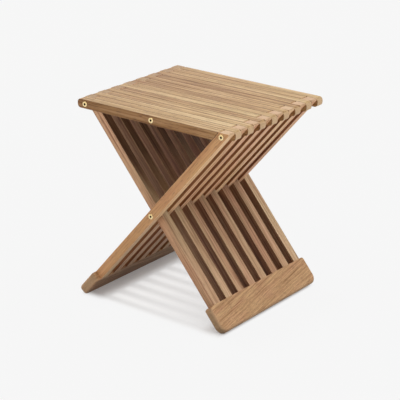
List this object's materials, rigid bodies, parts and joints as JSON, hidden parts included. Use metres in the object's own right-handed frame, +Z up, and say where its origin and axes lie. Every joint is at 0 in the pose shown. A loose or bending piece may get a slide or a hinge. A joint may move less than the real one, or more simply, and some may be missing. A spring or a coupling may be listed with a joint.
{
  "type": "folding stool",
  "caption": "Slatted teak folding stool: crossed leg frames on foot boards carry a seat of interleaved slats that lifts at its middle to fold flat, on rods with brass ends.",
  "frame": {"origin": "on the floor under the middle of the stool", "axes": "+X along the seat slats towards the right foot, +Y across the slats towards the back, +Z up"},
  "size_m": [0.403, 0.3778, 0.45],
  "materials": {
    "teak": "sanded and oiled",
    "brass": "turned, satin",
    "stainless_steel": "drawn rod"
  },
  "bodies": {
    "left_leg_frame": {"left_leg_slat_1": "teak", "left_leg_slat_2": "teak", "left_leg_slat_3": "teak", "left_leg_slat_4": "teak", "left_leg_slat_5": "teak", "left_leg_slat_6": "teak", "left_leg_slat_7": "teak", "left_leg_slat_8": "teak", "left_foot": "teak", "cross_rod": "stainless_steel", "cross_rod_nuts": "brass", "right_seat_rod": "stainless_steel", "right_seat_rod_nuts": "brass"},
    "right_leg_frame": {"right_leg_slat_1": "teak", "right_leg_slat_2": "teak", "right_leg_slat_3": "teak", "right_leg_slat_4": "teak", "right_leg_slat_5": "teak", "right_leg_slat_6": "teak", "right_leg_slat_7": "teak", "right_leg_slat_8": "teak", "right_foot": "teak", "left_seat_rod": "stainless_steel", "left_seat_rod_nuts": "brass"},
    "left_seat_set": {"left_seat_slat_1": "teak", "left_seat_slat_2": "teak", "left_seat_slat_3": "teak", "left_seat_slat_4": "teak", "left_seat_slat_5": "teak", "left_seat_slat_6": "teak", "left_seat_slat_7": "teak", "left_seat_slat_8": "teak", "centre_rod_left_pins": "stainless_steel", "centre_rod_front_nut": "brass"},
    "right_seat_set": {"right_seat_slat_1": "teak", "right_seat_slat_2": "teak", "right_seat_slat_3": "teak", "right_seat_slat_4": "teak", "right_seat_slat_5": "teak", "right_seat_slat_6": "teak", "right_seat_slat_7": "teak", "right_seat_slat_8": "teak", "centre_rod_right_pins": "stainless_steel", "centre_rod_back_nut": "brass"}
  },
  "joints": [
    {"name": "fold", "type": "hinge", "parent": "left_leg_frame", "child": "right_leg_frame", "pos_m": [0, 0, 0.226], "axis": [0, 1, 0], "range_deg": [0, 74.99]},
    {"name": "right_seat_hinge", "type": "hinge", "parent": "left_leg_frame", "child": "right_seat_set", "pos_m": [0.181, 0, 0.44], "axis": [0, 1, 0], "range_deg": [0, 123.28]},
    {"name": "left_seat_hinge", "type": "hinge", "parent": "right_leg_frame", "child": "left_seat_set", "pos_m": [-0.181, 0, 0.44], "axis": [0, -1, 0], "range_deg": [0, 123.28]}
  ],
  "couplings": [
    {"joint": "right_seat_hinge", "follows": "fold", "ratio": 1.6438},
    {"joint": "left_seat_hinge", "follows": "fold", "ratio": 1.6438}
  ]
}
